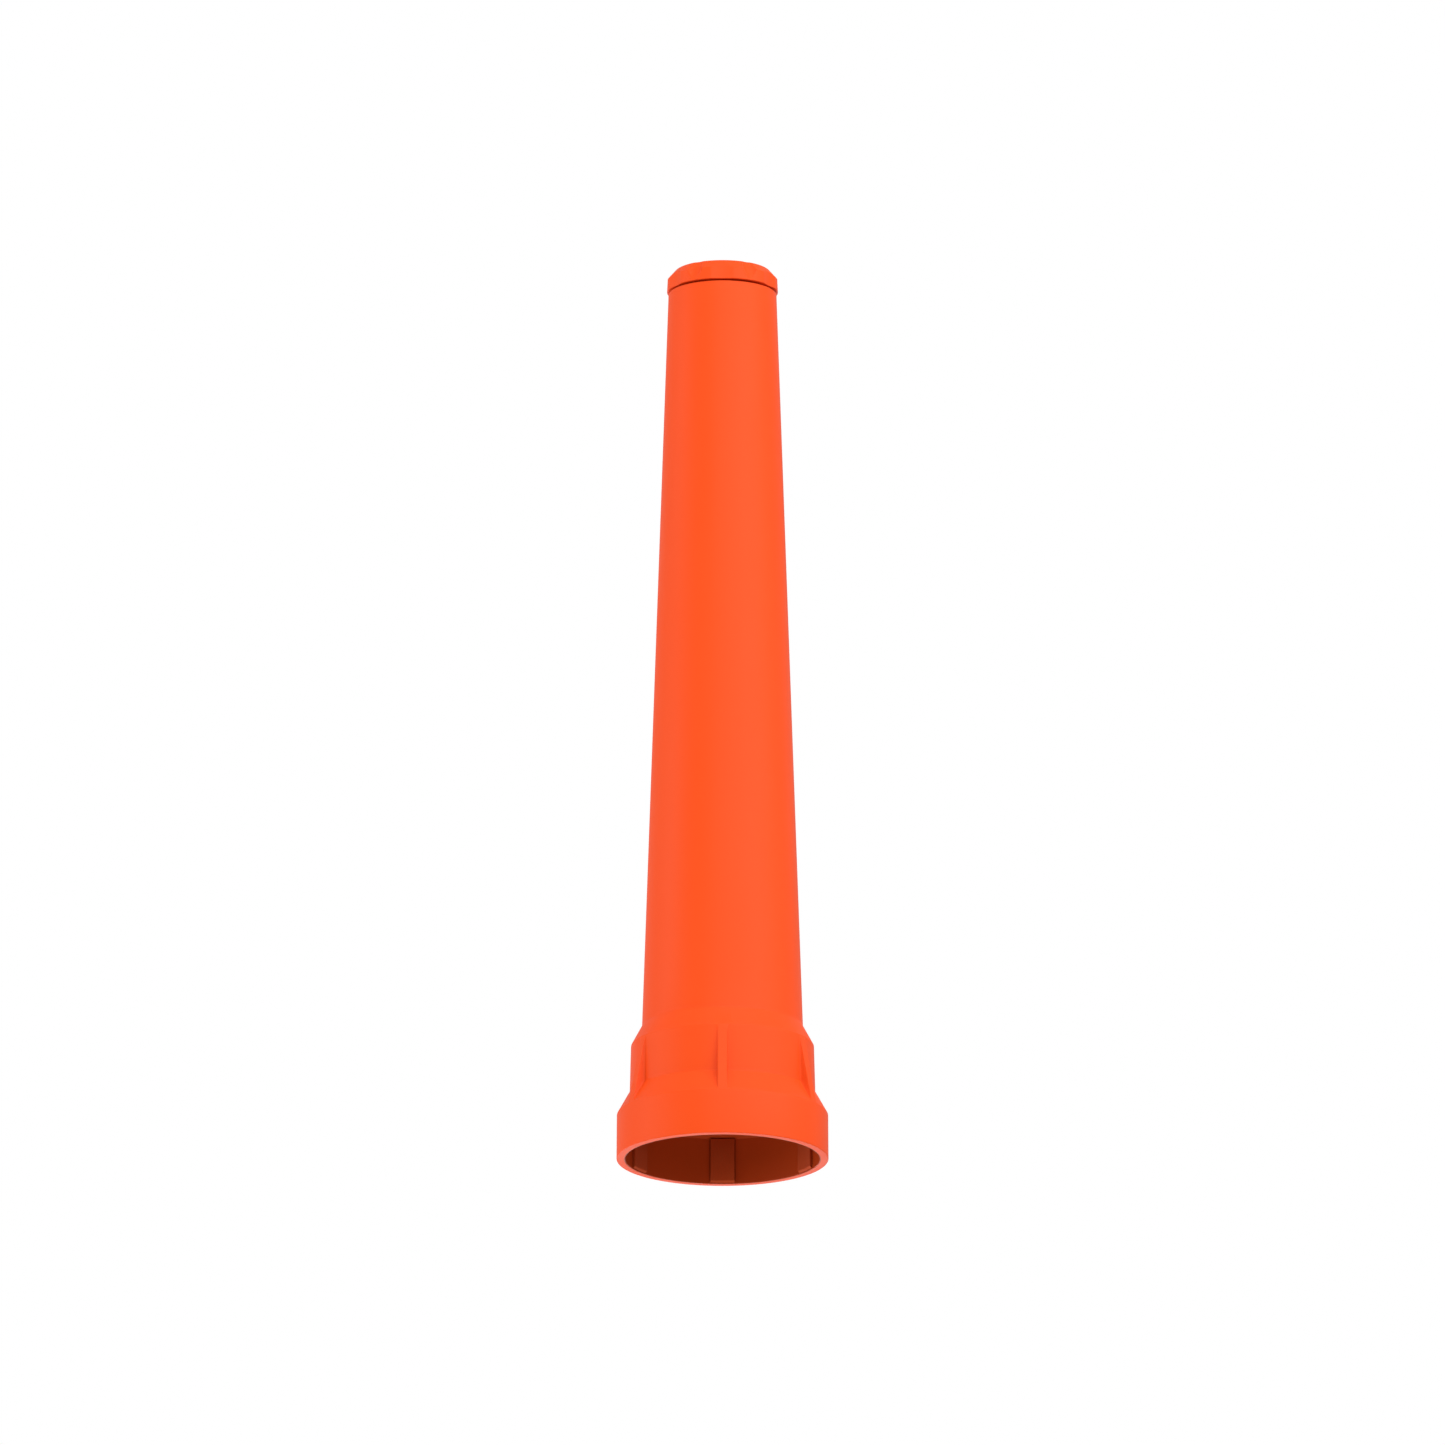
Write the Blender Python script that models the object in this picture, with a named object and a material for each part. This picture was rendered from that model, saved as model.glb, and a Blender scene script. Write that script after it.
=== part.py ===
"""Slip-on signalling cone for a hand torch.

One tapered moulding is open at both ends. Its wide collar slips over the head of a torch, where six soft
pads grip it. The narrow end takes a screw-in cap with finger scallops, sealed by a ring under its flange.

Units are metres and +Z is up. The origin is on the axis, in the plane of the base rim, which the cone
stands on. Azimuth 0 is the side that faces -Y, and azimuths run anticlockwise seen from above.
"""

from math import atan2, cos, pi, radians, sin

import bmesh
import bpy
from mathutils import Matrix, Vector

MM = 0.001
SEGMENTS = 72  # facets round the axis, a multiple of the six-fold pattern
FOLD = 6  # gussets, pads, scallops and scoops each come six to the turn

# Outer shape of the moulding, from the base rim up
COLLAR_RADIUS = 25.0 * MM
COLLAR_TOP_RADIUS = 24.93 * MM
COLLAR_TOP_Z = 10.64 * MM
BAND_RADIUS = 21.9 * MM
BAND_TOP_RADIUS = 21.6 * MM
BAND_Z = 16.06 * MM
BAND_TOP_Z = 27.4 * MM
TUBE_RADIUS = 19.0 * MM
TUBE_Z = 32.2 * MM
TUBE_TOP_RADIUS = 12.8 * MM
TUBE_TOP_Z = 211.9 * MM

# Inner shape
WALL = 2.06 * MM
SEAT_Z = 11.3 * MM  # flat ring that the torch's head comes up against
SEAT_RADIUS = 22.2 * MM
SEAT_WIDTH = 1.3 * MM
SEAT_LEAD = 0.3 * MM
SOCKET_RADIUS = COLLAR_RADIUS - WALL

# Gussets on the band
GUSSET_WIDTH = 2.2 * MM
GUSSET_FOOT_RADIUS = 24.86 * MM
GUSSET_TOP_RADIUS = 21.5 * MM

# Soft pads in the socket
PAD_WIDTH = 5.75 * MM
PAD_FACE_RADIUS = 22.33 * MM
PAD_THICKNESS = 1.1 * MM
PAD_LIP_Z = 0.19 * MM  # foot of the lip that laps over the recess's lower edge
PAD_FOOT_Z = 0.9 * MM
PAD_HEAD_Z = 10.9 * MM
PAD_CLEARANCE = 0.12 * MM

# Screw thread between the moulding and the cap
PITCH = 3.0 * MM
THREAD_TURNS = 1.5
THREAD_ROOT_WIDTH = 1.5 * MM
THREAD_CREST_WIDTH = 0.7 * MM
THREAD_SINK = 0.4 * MM  # how far a ridge's root is buried in its wall
THREAD_Z = 204.8 * MM  # middle of both ridges at their lower ends
NUT_BORE_RADIUS = 10.8 * MM
NUT_CREST_RADIUS = 9.9 * MM
NUT_BORE_Z = 203.4 * MM
PLUG_RADIUS = 9.5 * MM
PLUG_CREST_RADIUS = 10.5 * MM

# Seal ring in its counterbore
SEAL_SECTION_RADIUS = 0.9 * MM
SEAL_RADIUS = 10.5 * MM
COUNTERBORE_RADIUS = 11.6 * MM
COUNTERBORE_DEPTH = 1.5 * MM
SEAL_CLEARANCE = 0.1 * MM

# Cap
CAP_Z = TUBE_TOP_Z + 0.5 * MM
CAP_RADIUS = 13.15 * MM
CAP_WALL_TOP_Z = 215.2 * MM
CAP_TOP_RADIUS = 11.3 * MM
CAP_TOP_Z = 217.3 * MM
PLUG_FOOT_Z = TUBE_TOP_Z - 8.0 * MM
PLUG_WALL = 1.6 * MM
PLUG_ROOF_Z = CAP_Z + 1.6 * MM
PLUG_EDGE = 0.4 * MM
SCALLOP_RADIUS = 14.0 * MM
SCALLOP_DEPTH = 0.5 * MM
SCOOP_RADIUS = 2.5 * MM
SCOOP_FOOT_Z = CAP_Z + 0.35 * MM
SCOOP_TOP_RADIUS = 11.05 * MM

ORANGE = (1.0, 0.105, 0.022)
SOFT_ORANGE = (0.80, 0.075, 0.018)
SEAL_RED = (0.33, 0.035, 0.012)


def clear_scene():
    """Remove every object, so the scene holds this part alone."""
    for obj in list(bpy.data.objects):
        bpy.data.objects.remove(obj, do_unlink=True)


def finish_of(name, colour, roughness):
    """A moulded plastic or rubber finish."""
    material = bpy.data.materials.new(name)
    material.use_nodes = True
    shader = material.node_tree.nodes["Principled BSDF"]
    shader.inputs["Base Color"].default_value = (*colour, 1.0)
    shader.inputs["Roughness"].default_value = roughness
    shader.inputs["Metallic"].default_value = 0.0
    return material


def link_mesh(name, shape, material=None):
    """Make an object of a bmesh, with its faces turned outwards and shaded smooth between sharp edges."""
    bmesh.ops.remove_doubles(shape, verts=shape.verts, dist=1e-7)
    bmesh.ops.recalc_face_normals(shape, faces=shape.faces)
    mesh = bpy.data.meshes.new(name)
    shape.to_mesh(mesh)
    shape.free()
    mesh.shade_smooth()
    mesh.set_sharp_from_angle(angle=radians(30))
    obj = bpy.data.objects.new(name, mesh)
    bpy.context.scene.collection.objects.link(obj)
    if material:
        mesh.materials.append(material)
    return obj


def turned(name, outline, material=None):
    """Turn an outline of (radius, z) points about the Z axis. It starts and ends on the axis, or closes."""
    shape = bmesh.new()
    points = [shape.verts.new((radius, 0.0, z)) for radius, z in outline]
    edges = [shape.edges.new(pair) for pair in zip(points, points[1:])]
    if outline[0][0] > 0.0:
        edges.append(shape.edges.new((points[-1], points[0])))
    bmesh.ops.spin(
        shape,
        geom=points + edges,
        cent=(0, 0, 0),
        axis=(0, 0, 1),
        angle=2 * pi,
        steps=SEGMENTS,
        use_merge=True,
    )
    return link_mesh(name, shape, material)


def prism(name, outline, width, azimuth, material=None):
    """A slab of the given width whose side is an outline of (radius, z) points, set at an azimuth."""
    shape = bmesh.new()
    side = shape.faces.new([shape.verts.new((width / 2, -radius, z)) for radius, z in outline])
    pushed = bmesh.ops.extrude_face_region(shape, geom=[side])["geom"]
    moved = [item for item in pushed if isinstance(item, bmesh.types.BMVert)]
    bmesh.ops.translate(shape, verts=moved, vec=(-width, 0, 0))
    bmesh.ops.rotate(shape, verts=shape.verts, cent=(0, 0, 0), matrix=Matrix.Rotation(azimuth, 3, "Z"))
    return link_mesh(name, shape, material)


def rod(name, radius, start, end, segments):
    """A closed cylinder between two points."""
    shape = bmesh.new()
    length = (end - start).length
    bmesh.ops.create_cone(
        shape, cap_ends=True, segments=segments, radius1=radius, radius2=radius, depth=length
    )
    turn = (end - start).to_track_quat("Z", "Y").to_matrix().to_4x4()
    bmesh.ops.transform(shape, verts=shape.verts, matrix=Matrix.Translation((start + end) / 2) @ turn)
    return link_mesh(name, shape)


def ridge(name, root_radius, crest_radius, start):
    """A right-hand helical thread ridge from THREAD_Z up, starting at an angle and tapered off at both ends."""
    shape = bmesh.new()
    side = 1 if crest_radius > root_radius else -1
    steps = round(THREAD_TURNS * SEGMENTS)
    taper = SEGMENTS // 12
    rings = []
    for step in range(steps + 1):
        middle = THREAD_Z + PITCH * step / SEGMENTS
        rise = min(1.0, (min(step, steps - step) + 0.2) / taper)
        crest = root_radius + rise * (crest_radius - root_radius)
        section = (
            (root_radius - side * THREAD_SINK, -THREAD_ROOT_WIDTH / 2),
            (root_radius, -THREAD_ROOT_WIDTH / 2),
            (crest, -THREAD_CREST_WIDTH / 2),
            (crest, THREAD_CREST_WIDTH / 2),
            (root_radius, THREAD_ROOT_WIDTH / 2),
            (root_radius - side * THREAD_SINK, THREAD_ROOT_WIDTH / 2),
        )
        turn = Matrix.Rotation(start + 2 * pi * step / SEGMENTS, 3, "Z")
        rings.append([shape.verts.new(turn @ Vector((r, 0.0, middle + up))) for r, up in section])
    for low, high in zip(rings, rings[1:]):
        for i in range(len(low)):
            j = (i + 1) % len(low)
            shape.faces.new((low[i], low[j], high[j], high[i]))
    shape.faces.new(rings[0])
    shape.faces.new(rings[-1])
    return link_mesh(name, shape)


def combine(target, tool, operation):
    """Join a tool shape to a target, or cut it out, with a live Boolean. The tool stays a hidden guide."""
    tool.hide_render = True
    tool.display_type = "WIRE"
    tool.parent = target
    tool.matrix_parent_inverse = target.matrix_world.inverted()
    step = target.modifiers.new(f"{operation.lower()} {tool.name}", "BOOLEAN")
    step.operation = operation
    step.solver = "EXACT"
    step.object = tool


def azimuth_of(index, offset=0.0):
    """The azimuth of one of the six repeats."""
    return 2 * pi * (index + offset) / FOLD


def body_outline():
    """The moulding's wall, down its outside and back up its bore."""
    seat_inner = SEAT_RADIUS - SEAT_WIDTH
    band_bore = BAND_RADIUS - WALL
    return (
        (COUNTERBORE_RADIUS, TUBE_TOP_Z),
        (TUBE_TOP_RADIUS, TUBE_TOP_Z),
        (TUBE_RADIUS, TUBE_Z),
        (BAND_TOP_RADIUS, BAND_TOP_Z),
        (BAND_RADIUS, BAND_Z),
        (COLLAR_TOP_RADIUS, COLLAR_TOP_Z),
        (COLLAR_RADIUS, 0.0),
        (SOCKET_RADIUS, 0.0),
        (SOCKET_RADIUS, SEAT_Z - SEAT_LEAD),
        (SEAT_RADIUS, SEAT_Z),
        (seat_inner, SEAT_Z),
        (band_bore, BAND_Z),
        (BAND_TOP_RADIUS - WALL, BAND_TOP_Z - WALL / 4),
        (TUBE_RADIUS - WALL, TUBE_Z),
        (bore_radius_at(NUT_BORE_Z), NUT_BORE_Z),
        (NUT_BORE_RADIUS, NUT_BORE_Z + PLUG_EDGE),
        (NUT_BORE_RADIUS, TUBE_TOP_Z - COUNTERBORE_DEPTH),
        (COUNTERBORE_RADIUS, TUBE_TOP_Z - COUNTERBORE_DEPTH),
    )


def bore_radius_at(z):
    """The bore's radius at a height on the straight taper."""
    share = (z - TUBE_Z) / (TUBE_TOP_Z - TUBE_Z)
    return TUBE_RADIUS + share * (TUBE_TOP_RADIUS - TUBE_RADIUS) - WALL


def make_body(material):
    """The one-piece moulding: tube, flare, band with gussets, collar with pad recesses, and nut thread."""
    body = turned("wand_body", body_outline(), material)
    gusset_side = (
        (GUSSET_TOP_RADIUS, BAND_TOP_Z),
        (BAND_RADIUS - WALL / 2, BAND_TOP_Z - WALL / 2),
        (BAND_RADIUS - WALL / 2, BAND_Z),
        (COLLAR_TOP_RADIUS - WALL, COLLAR_TOP_Z - WALL / 2),
        (GUSSET_FOOT_RADIUS, COLLAR_TOP_Z),
    )
    recess_back = PAD_FACE_RADIUS + PAD_THICKNESS + PAD_CLEARANCE
    recess_foot = PAD_FOOT_Z - PAD_CLEARANCE
    recess_head = PAD_HEAD_Z + PAD_CLEARANCE
    recess_side = (
        (PAD_FACE_RADIUS - WALL, recess_foot),
        (recess_back, recess_foot),
        (recess_back, recess_head),
        (PAD_FACE_RADIUS - WALL, recess_head),
    )
    for i in range(FOLD):
        gusset = prism(f"guide_gusset_{i + 1}", gusset_side, GUSSET_WIDTH, azimuth_of(i))
        combine(body, gusset, "UNION")
    for i in range(FOLD):
        width = PAD_WIDTH + 2 * PAD_CLEARANCE
        recess = prism(f"guide_recess_{i + 1}", recess_side, width, azimuth_of(i))
        combine(body, recess, "DIFFERENCE")
    thread = ridge("guide_nut_thread", NUT_BORE_RADIUS, NUT_CREST_RADIUS, pi)
    combine(body, thread, "UNION")
    return body


def make_pads(material):
    """Six soft strips let into the socket wall. The foot of each is a lip with a 45 degree lead-in."""
    back = PAD_FACE_RADIUS + PAD_THICKNESS
    lip_back = SOCKET_RADIUS - PAD_CLEARANCE
    lip_width = lip_back - PAD_FACE_RADIUS
    section = (
        (lip_back, PAD_LIP_Z),
        (lip_back, PAD_FOOT_Z),
        (back, PAD_FOOT_Z),
        (back, PAD_HEAD_Z),
        (PAD_FACE_RADIUS, PAD_HEAD_Z),
        (PAD_FACE_RADIUS, PAD_LIP_Z + lip_width),
    )
    blank = (
        (PAD_FACE_RADIUS - WALL, -WALL),
        (back + WALL, -WALL),
        (back + WALL, PAD_HEAD_Z + WALL),
        (PAD_FACE_RADIUS - WALL, PAD_HEAD_Z + WALL),
    )
    pads = []
    for i in range(FOLD):
        pad = prism(f"grip_pad_{i + 1}", blank, PAD_WIDTH, azimuth_of(i), material)
        combine(pad, turned(f"guide_pad_ring_{i + 1}", section), "INTERSECT")
        pads.append(pad)
    return pads


def make_seal(material, parent):
    """The seal ring, which stays on the cap's neck and rises with it."""
    centre_z = TUBE_TOP_Z - COUNTERBORE_DEPTH + SEAL_CLEARANCE + SEAL_SECTION_RADIUS
    sides = 10
    outline = []
    for i in range(sides):
        angle = pi / 2 - 2 * pi * i / sides
        radius = SEAL_RADIUS + SEAL_SECTION_RADIUS * cos(angle)
        outline.append((radius, centre_z + SEAL_SECTION_RADIUS * sin(angle)))
    seal = turned("cap_seal", outline, material)
    seal.parent = parent
    return seal


def cap_outline():
    """The cap's flange and its cored plug, from the centre of its top round to the roof of the core."""
    core_radius = PLUG_RADIUS - PLUG_WALL
    return (
        (0.0, CAP_TOP_Z),
        (CAP_TOP_RADIUS, CAP_TOP_Z),
        (CAP_RADIUS, CAP_WALL_TOP_Z),
        (CAP_RADIUS, CAP_Z),
        (PLUG_RADIUS, CAP_Z),
        (PLUG_RADIUS, PLUG_FOOT_Z + PLUG_EDGE),
        (PLUG_RADIUS - PLUG_EDGE, PLUG_FOOT_Z),
        (core_radius, PLUG_FOOT_Z),
        (core_radius, PLUG_ROOF_Z),
        (0.0, PLUG_ROOF_Z),
    )


def make_cap(material, parent):
    """The screw cap: thread on its plug, six finger scallops and six tilted scoops round its flange."""
    cap = turned("end_cap", cap_outline(), material)
    thread = ridge("guide_plug_thread", PLUG_RADIUS, PLUG_CREST_RADIUS, 0.0)
    combine(cap, thread, "UNION")
    for i in range(FOLD):
        turn = Matrix.Rotation(azimuth_of(i), 3, "Z")
        far = CAP_RADIUS - SCALLOP_DEPTH + SCALLOP_RADIUS
        start = turn @ Vector((0.0, -far, CAP_Z - WALL / 4))
        end = turn @ Vector((0.0, -far, CAP_TOP_Z + WALL))
        combine(cap, rod(f"guide_scallop_{i + 1}", SCALLOP_RADIUS, start, end, 120), "DIFFERENCE")
    lean = atan2(CAP_RADIUS - SCOOP_TOP_RADIUS, CAP_TOP_Z - SCOOP_FOOT_Z)
    along = Vector((0.0, sin(lean), cos(lean)))
    away = Vector((0.0, -cos(lean), sin(lean)))
    for i in range(FOLD):
        turn = Matrix.Rotation(azimuth_of(i, 0.5), 3, "Z")
        foot = Vector((0.0, -CAP_RADIUS, SCOOP_FOOT_Z)) + SCOOP_RADIUS * away
        head = Vector((0.0, -SCOOP_TOP_RADIUS, CAP_TOP_Z)) + SCOOP_RADIUS * away
        start = turn @ (foot - WALL * along)
        end = turn @ (head + 2 * WALL * along)
        combine(cap, rod(f"guide_scoop_{i + 1}", SCOOP_RADIUS, start, end, 40), "DIFFERENCE")
    cap.parent = parent
    return cap


def main():
    """Build the cone at rest, with the cap screwed home."""
    clear_scene()
    plastic = finish_of("orange polyethylene", ORANGE, 0.45)
    soft = finish_of("orange elastomer", SOFT_ORANGE, 0.7)
    silicone = finish_of("red silicone", SEAL_RED, 0.5)
    screw_axis = bpy.data.objects.new("screw_axis", None)
    bpy.context.scene.collection.objects.link(screw_axis)
    make_body(plastic)
    make_pads(soft)
    make_seal(silicone, screw_axis)
    make_cap(plastic, screw_axis)


main()
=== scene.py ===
"""Looks of a slip-on signalling cone for a hand torch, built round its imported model.

Everything is in metres in the model's own frame: +Z runs up the cone's axis from the base rim, and
the first gusset faces -Y. Azimuths are measured from -Y, anticlockwise seen from above.
"""

import logging
from collections.abc import Callable, Sequence
from dataclasses import dataclass
from enum import Enum
from math import asin, atan, ceil, cos, degrees, hypot, pi, radians, sin, sqrt, tan

import bmesh
import bpy
import numpy as np
from mathutils import Matrix, Vector


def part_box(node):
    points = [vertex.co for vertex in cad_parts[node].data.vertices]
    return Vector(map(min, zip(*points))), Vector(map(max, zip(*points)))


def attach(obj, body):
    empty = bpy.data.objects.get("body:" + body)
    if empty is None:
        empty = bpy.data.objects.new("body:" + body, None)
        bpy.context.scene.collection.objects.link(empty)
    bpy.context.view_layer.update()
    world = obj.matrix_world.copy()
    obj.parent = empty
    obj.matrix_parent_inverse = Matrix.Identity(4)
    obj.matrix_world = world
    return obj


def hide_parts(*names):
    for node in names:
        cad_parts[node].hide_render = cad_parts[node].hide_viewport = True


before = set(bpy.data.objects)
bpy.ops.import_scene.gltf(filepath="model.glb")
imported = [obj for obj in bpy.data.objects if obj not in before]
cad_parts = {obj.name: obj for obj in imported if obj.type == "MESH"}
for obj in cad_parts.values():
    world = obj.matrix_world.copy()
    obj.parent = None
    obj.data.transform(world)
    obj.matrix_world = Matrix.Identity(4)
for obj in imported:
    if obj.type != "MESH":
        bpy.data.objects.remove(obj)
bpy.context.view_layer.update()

MM = 0.001
FOLD = 6  # gussets, pads, scallops and scoops each come six to the turn
SECTOR = 2 * pi / FOLD
ARC_STEP = 15  # degrees between the rows of a rounded corner
THREAD_ROW = 0.12  # millimetres between the rows that carry a thread
FLANGE_ROW = 0.14  # millimetres between the rows that the cap's grips are cut in
MERGE = 1e-7  # metres within which two points are one
NEAR = 1e-6  # metres within which a height or a radius is reached
log = logging.getLogger("signalling_cone")

Grid = np.ndarray
Link = bpy.types.NodeSocket | float | str | tuple | bpy.types.Material


# ------------------------------------------------------------------------------
# Small helpers
# ------------------------------------------------------------------------------


def linear(code: str) -> tuple[float, float, float, float]:
    """Turn an sRGB hex colour into a linear one.

    Args:
        code: Six hex digits after a hash.

    Returns:
        Linear red, green and blue, and an alpha of 1.
    """
    parts = [int(code[i : i + 2], 16) / 255 for i in (1, 3, 5)]
    red, green, blue = (c / 12.92 if c <= 0.04045 else ((c + 0.055) / 1.055) ** 2.4 for c in parts)
    return red, green, blue, 1.0


def add_node(
    tree: bpy.types.NodeTree,
    kind: str,
    settings: dict[str, object] | None = None,
    links: dict[str | int, Link] | None = None,
) -> bpy.types.Node:
    """Add a node with its settings, and feed its inputs.

    Args:
        tree: The tree that takes the node.
        kind: The node's type name.
        settings: Properties of the node.
        links: For each input, by name or number, another node's output socket or a plain value.

    Returns:
        The new node.
    """
    node = tree.nodes.new(kind)
    for name, value in (settings or {}).items():
        setattr(node, name, value)
    for key, value in (links or {}).items():
        if isinstance(value, bpy.types.NodeSocket):
            tree.links.new(value, node.inputs[key])
        else:
            node.inputs[key].default_value = value
    return node


def smooth_least(first: Grid, second: Grid, width: float) -> Grid:
    """The lesser of two surfaces, with the crease between them rounded off.

    Args:
        first: Radii of one surface.
        second: Radii of the other.
        width: How far apart the two are where the rounding starts.

    Returns:
        The joined radii.
    """
    share = np.clip(0.5 + 0.5 * (second - first) / width, 0.0, 1.0)
    return second + (first - second) * share - width * share * (1 - share)


def fold_azimuth(azimuth: Grid, start: float = 0.0) -> Grid:
    """Fold azimuths into the six-fold pattern's sector that is centred on start."""
    return (azimuth - start + SECTOR / 2) % SECTOR - SECTOR / 2


# ------------------------------------------------------------------------------
# Turned surfaces
# ------------------------------------------------------------------------------


class Wall(Enum):
    """What a stretch of a turned outline belongs to, which says what rules shape it."""

    OUTSIDE = 0
    SOCKET = 1
    BORE = 2
    THREAD = 3
    FLANGE = 4
    FACE = 5


@dataclass(frozen=True)
class Corner:
    """One corner of a turned outline, in millimetres, and the stretch that leads on from it."""

    radius: float
    z: float
    rounding: float = 0.0
    pitch: float = 8.0
    wall: Wall = Wall.OUTSIDE


@dataclass(frozen=True)
class Row:
    """One ring of a turned surface, in metres."""

    radius: float
    z: float
    wall: Wall


def outline_rows(corners: Sequence[Corner], closed: bool) -> list[Row]:
    """Round an outline's corners with arcs and space points along its straight stretches.

    Args:
        corners: The corners in order, down the outside and back up the inside.
        closed: Whether the last corner leads back to the first.

    Returns:
        The rows of the surface, in the same order.
    """
    rows: list[Row] = []
    count = len(corners)
    for i, corner in enumerate(corners):
        here = Vector((corner.radius, corner.z))
        ends = not closed and i in (0, count - 1)
        points = [here]
        if corner.rounding > 0 and not ends:
            back = (Vector((corners[i - 1].radius, corners[i - 1].z)) - here).normalized()
            follow = corners[(i + 1) % count]
            on = (Vector((follow.radius, follow.z)) - here).normalized()
            half = back.angle(on) / 2
            middle = here + (back + on).normalized() * corner.rounding / sin(half)
            start = here + back * corner.rounding / tan(half) - middle
            sweep = start.angle_signed(here + on * corner.rounding / tan(half) - middle)
            steps = max(2, ceil(abs(degrees(sweep)) / ARC_STEP))
            turns = [Matrix.Rotation(-sweep * k / steps, 2) for k in range(steps + 1)]
            points = [middle + turn @ start for turn in turns]
        rows += [Row(p.x * MM, p.y * MM, corner.wall) for p in points]
    return spaced(rows, corners, closed)


def rows_between(row: Row, follow: Row, widest: float) -> list[Row]:
    """Spread rows evenly between two others.

    Args:
        row: The row before them, whose wall they belong to.
        follow: The row after them.
        widest: The widest spacing, in metres.

    Returns:
        The rows between the two, or none if the two are close already.
    """
    gap = hypot(follow.radius - row.radius, follow.z - row.z)
    parts = max(1, ceil(gap / widest))
    result = []
    for k in range(1, parts):
        share = k / parts
        radius = row.radius + share * (follow.radius - row.radius)
        result.append(Row(radius, row.z + share * (follow.z - row.z), row.wall))
    return result


def spaced(rows: list[Row], corners: Sequence[Corner], closed: bool) -> list[Row]:
    """Put rows along each long stretch, no further apart than its pitch.

    Args:
        rows: The rows at the corners only.
        corners: The corners, for their pitch.
        closed: Whether the last row leads back to the first.

    Returns:
        All the rows.
    """
    pitch_of = {corner.wall: corner.pitch for corner in corners}
    result: list[Row] = []
    for i, row in enumerate(rows):
        result.append(row)
        if i + 1 == len(rows) and not closed:
            break
        result += rows_between(row, rows[(i + 1) % len(rows)], pitch_of[row.wall] * MM)
    return result


Rule = Callable[[Grid, Grid, Grid, Grid], tuple[Grid, Grid]]


def turned_mesh(
    name: str, rows: Sequence[Row], azimuths: Grid, rule: Rule | None, closed: bool
) -> bpy.types.Mesh:
    """Turn rows about the Z axis into one closed mesh.

    Args:
        name: Name of the mesh.
        rows: The rings, in order. An open outline's two ends lie on the axis.
        azimuths: Where the columns stand.
        rule: Gives each point's new azimuth and radius, from its azimuth, radius, height and wall
            number.
        closed: Whether the last ring joins the first.

    Returns:
        A mesh with outward faces and a point attribute "wall" that holds each point's wall number.
    """
    radius = np.array([row.radius for row in rows])[:, None] * np.ones(len(azimuths))
    height = np.array([row.z for row in rows])[:, None] * np.ones(len(azimuths))
    wall = np.array([row.wall.value for row in rows])[:, None] * np.ones(len(azimuths), int)
    angle = azimuths[None, :] * np.ones(len(rows))[:, None]
    if rule:
        angle, radius = rule(angle, radius, height, wall)
    points = np.stack([radius * np.sin(angle), -radius * np.cos(angle), height], axis=-1)
    columns = len(azimuths)
    faces = []
    for i in range(len(rows) if closed else len(rows) - 1):
        low, high = i * columns, (i + 1) % len(rows) * columns
        for j in range(columns):
            k = (j + 1) % columns
            faces.append((low + j, high + j, high + k, low + k))
    mesh = bpy.data.meshes.new(name)
    mesh.from_pydata(points.reshape(-1, 3).tolist(), [], faces)
    mesh.attributes.new("wall", "INT", "POINT").data.foreach_set("value", wall.reshape(-1))
    shape = bmesh.new()
    shape.from_mesh(mesh)
    bmesh.ops.remove_doubles(shape, verts=shape.verts, dist=MERGE)
    bmesh.ops.recalc_face_normals(shape, faces=shape.faces)
    shape.to_mesh(mesh)
    shape.free()
    return mesh


def sector_columns(marks: Sequence[float], step: float) -> Grid:
    """Columns for a six-fold surface: close at the marks, evenly spread between them.

    Args:
        marks: Azimuths in degrees within half a sector, in rising order from above 0.
        step: The widest spacing in degrees.

    Returns:
        Azimuths round the whole turn, in radians.
    """
    half = [0.0]
    for mark in [*marks, degrees(SECTOR) / 2]:
        parts = max(1, ceil((mark - half[-1]) / step - 1e-9))
        half += np.linspace(half[-1], mark, parts + 1)[1:].tolist()
    mirrored = [-a for a in half[-2:0:-1]]
    sector = np.array(mirrored + half)
    return np.radians(np.concatenate([sector + degrees(SECTOR) * i for i in range(FOLD)]))


def finish_mesh(
    mesh: bpy.types.Mesh, name: str, material: bpy.types.Material, crease: float
) -> bpy.types.Object:
    """Make the finished object of a mesh, smooth but for edges sharper than the crease angle.

    Args:
        mesh: The mesh, in place.
        name: The piece's name.
        material: Its finish.
        crease: Sharpest angle in degrees that is still shaded smooth.

    Returns:
        The object, at the origin.
    """
    mesh.name = name
    mesh.materials.clear()
    mesh.materials.append(material)
    mesh.shade_smooth()
    mesh.set_sharp_from_angle(angle=radians(crease))
    piece = bpy.data.objects.new(name, mesh)
    bpy.context.scene.collection.objects.link(piece)
    return piece


def grown(
    base: bpy.types.Mesh, tree: bpy.types.NodeTree, values: dict[str, object]
) -> bpy.types.Mesh:
    """Run a Geometry Nodes tree on a mesh and keep its result as a plain mesh.

    Args:
        base: The mesh that goes in.
        tree: The tree.
        values: The tree's inputs by name.

    Returns:
        The new mesh.
    """
    carrier = bpy.data.objects.new("carrier", base)
    bpy.context.scene.collection.objects.link(carrier)
    modifier = carrier.modifiers.new(tree.name, "NODES")
    modifier.node_group = tree
    for item in tree.interface.items_tree:
        if item.item_type == "SOCKET" and item.in_out == "INPUT" and item.name in values:
            modifier[item.identifier] = values[item.name]
    graph = bpy.context.evaluated_depsgraph_get()
    mesh = bpy.data.meshes.new_from_object(carrier.evaluated_get(graph))
    carrier.modifiers.clear()
    bpy.data.objects.remove(carrier)
    return mesh


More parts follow.
